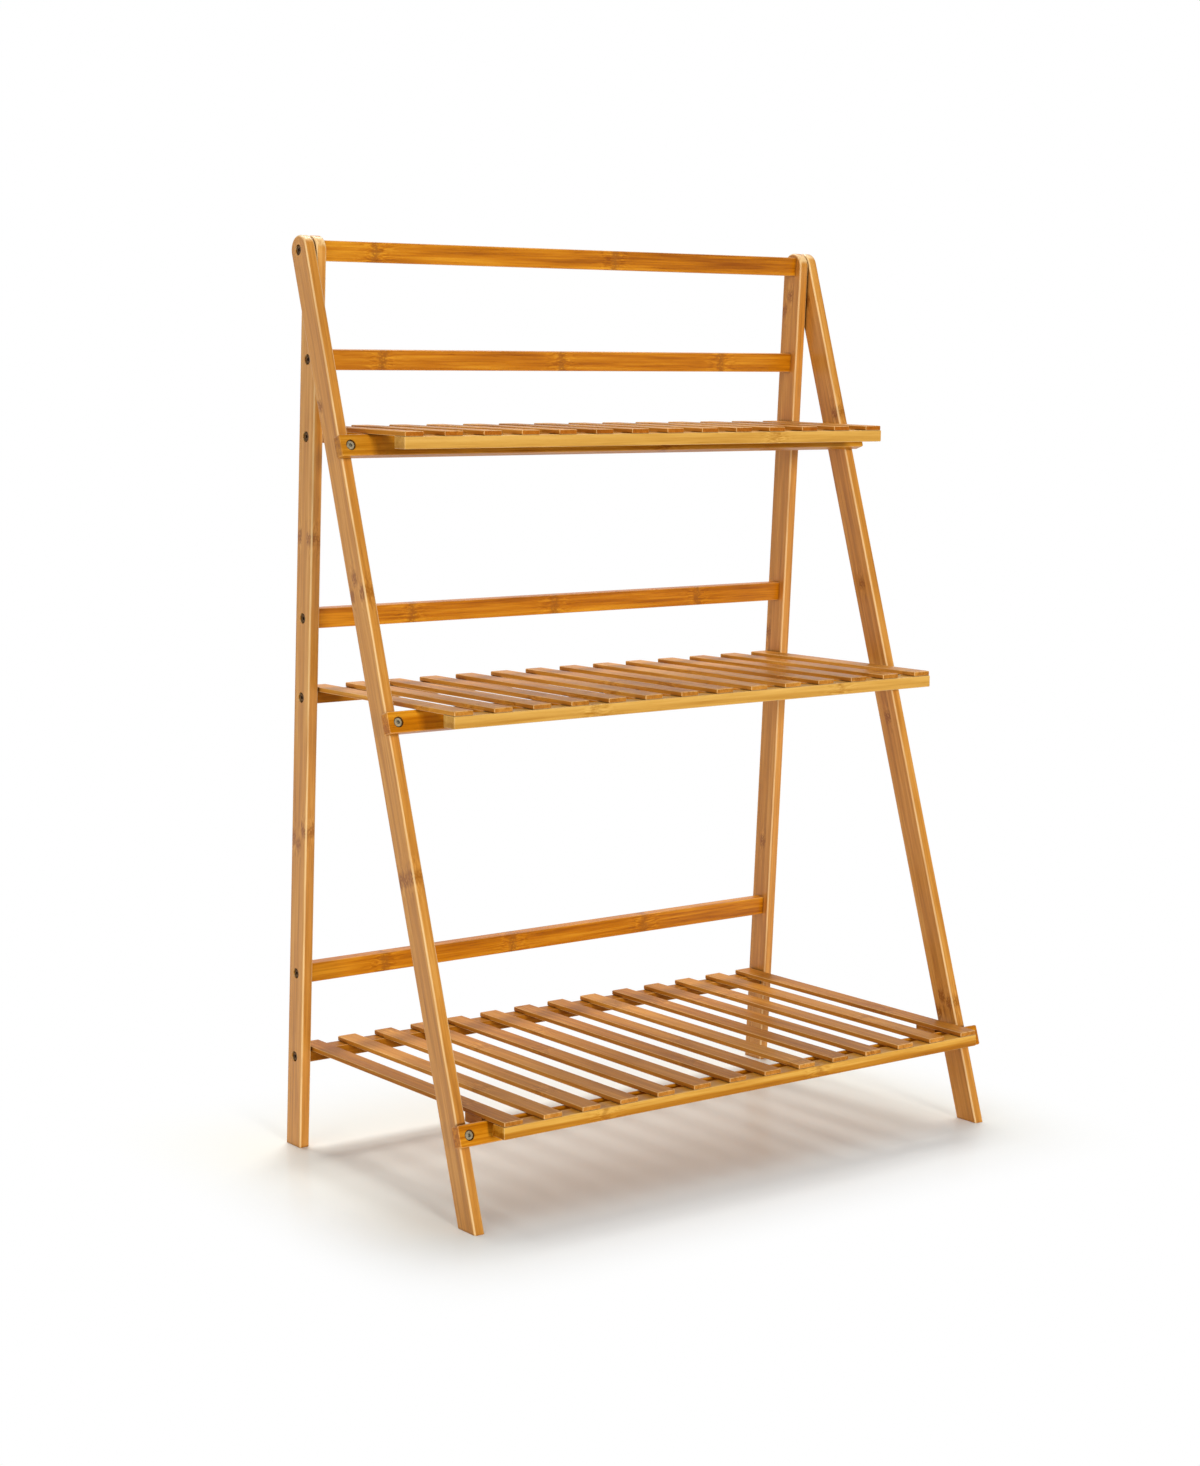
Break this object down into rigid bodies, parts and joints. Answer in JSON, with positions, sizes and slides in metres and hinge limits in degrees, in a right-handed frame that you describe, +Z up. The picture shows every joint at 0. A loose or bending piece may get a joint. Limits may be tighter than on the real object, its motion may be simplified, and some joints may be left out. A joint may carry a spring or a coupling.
{
  "type": "folding ladder shelf",
  "caption": "Folding A-frame ladder shelf of lacquered bamboo: slatted tiers, deeper towards the floor, hinged on rear uprights and resting on rails across hinged front legs.",
  "frame": {"origin": "on the floor, in the middle of the width and of the depth", "axes": "+X to the right seen from the front, -Y to the front, +Z up"},
  "size_m": [0.692, 0.4024, 0.965],
  "materials": {
    "bamboo_strut": "lacquered bamboo, satin",
    "bamboo_rail": "lacquered bamboo, satin",
    "bamboo_slat": "lacquered bamboo, satin",
    "bolt_steel": "zinc plated",
    "washer_steel": "zinc plated",
    "insert_brass": "turned",
    "screw_steel": "zinc plated"
  },
  "bodies": {
    "rear_frame": {"back_rail_bolts": "bolt_steel", "back_rail_inserts": "insert_brass", "back_rail_lower": "bamboo_rail", "back_rail_middle": "bamboo_rail", "back_rail_upper": "bamboo_rail", "rear_upright_left": "bamboo_strut", "rear_upright_right": "bamboo_strut", "top_pivot_bolts": "bolt_steel", "top_rail": "bamboo_rail", "top_rail_inserts": "insert_brass"},
    "front_frame": {"front_leg_inserts": "insert_brass", "front_leg_left": "bamboo_strut", "front_leg_right": "bamboo_strut", "front_rail_bolts": "bolt_steel", "front_rail_lower": "bamboo_rail", "front_rail_middle": "bamboo_rail", "front_rail_upper": "bamboo_rail", "top_pivot_washers": "washer_steel"},
    "upper_shelf": {"upper_shelf_front_bar": "bamboo_rail", "upper_shelf_inserts": "insert_brass", "upper_shelf_pivot_bolts": "bolt_steel", "upper_shelf_rear_bar": "bamboo_rail", "upper_shelf_screws": "screw_steel", "upper_shelf_slats": "bamboo_slat", "upper_shelf_washers": "washer_steel"},
    "middle_shelf": {"middle_shelf_front_bar": "bamboo_rail", "middle_shelf_inserts": "insert_brass", "middle_shelf_pivot_bolts": "bolt_steel", "middle_shelf_rear_bar": "bamboo_rail", "middle_shelf_screws": "screw_steel", "middle_shelf_slats": "bamboo_slat", "middle_shelf_washers": "washer_steel"},
    "lower_shelf": {"lower_shelf_front_bar": "bamboo_rail", "lower_shelf_inserts": "insert_brass", "lower_shelf_pivot_bolts": "bolt_steel", "lower_shelf_rear_bar": "bamboo_rail", "lower_shelf_screws": "screw_steel", "lower_shelf_slats": "bamboo_slat", "lower_shelf_stop_blocks": "bamboo_slat", "lower_shelf_washers": "washer_steel"}
  },
  "joints": [
    {"name": "front_frame_fold", "type": "hinge", "parent": "rear_frame", "child": "front_frame", "pos_m": [0, 0.12477, 0.95], "axis": [1, 0, 0], "range_deg": [0, 20]},
    {"name": "lower_shelf_lift", "type": "hinge", "parent": "rear_frame", "child": "lower_shelf", "pos_m": [0, 0.17977, 0.09958], "axis": [-1, 0, 0], "range_deg": [0, 68]},
    {"name": "middle_shelf_lift", "type": "hinge", "parent": "rear_frame", "child": "middle_shelf", "pos_m": [0, 0.15453, 0.48976], "axis": [-1, 0, 0], "range_deg": [0, 68]},
    {"name": "upper_shelf_lift", "type": "hinge", "parent": "rear_frame", "child": "upper_shelf", "pos_m": [0, 0.13695, 0.76159], "axis": [-1, 0, 0], "range_deg": [0, 68]}
  ],
  "couplings": [
    {"joint": "lower_shelf_lift", "follows": "front_frame_fold", "ratio": 3.4}
  ]
}
